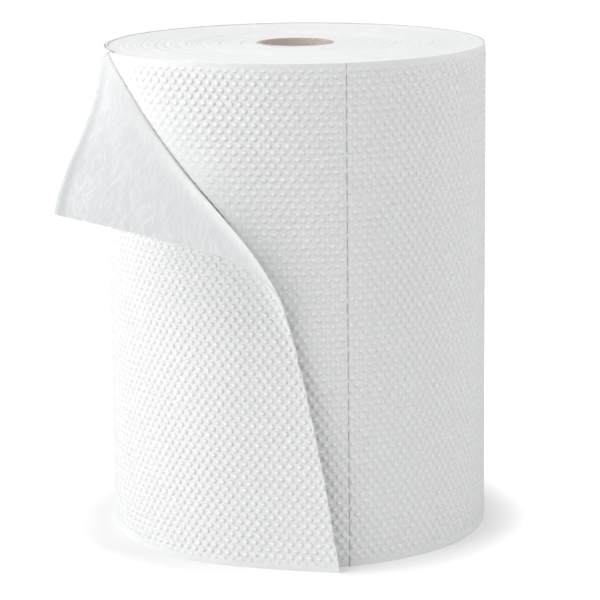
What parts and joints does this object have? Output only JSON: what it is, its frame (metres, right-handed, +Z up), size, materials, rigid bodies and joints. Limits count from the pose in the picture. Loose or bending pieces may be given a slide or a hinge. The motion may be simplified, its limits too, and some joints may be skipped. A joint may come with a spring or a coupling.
{
  "type": "nonwoven wipe roll",
  "caption": "Roll of embossed white nonwoven wipes on a cardboard core, standing on end, with a loose tail whose top corner is folded outwards and a perforated tear line.",
  "frame": {"origin": "centre of the core bore at the bottom end of the roll", "axes": "+Z up along the winding axis, -Y towards the front, where the tail edge is, +X to the right seen from the front"},
  "size_m": [0.2716, 0.2854, 0.3214],
  "materials": {
    "web": "matt embossed nonwoven",
    "core": "uncoated grey-brown cardboard"
  },
  "bodies": {
    "root": {"wound_web": "web", "core_tube": "core"}
  },
  "joints": []
}
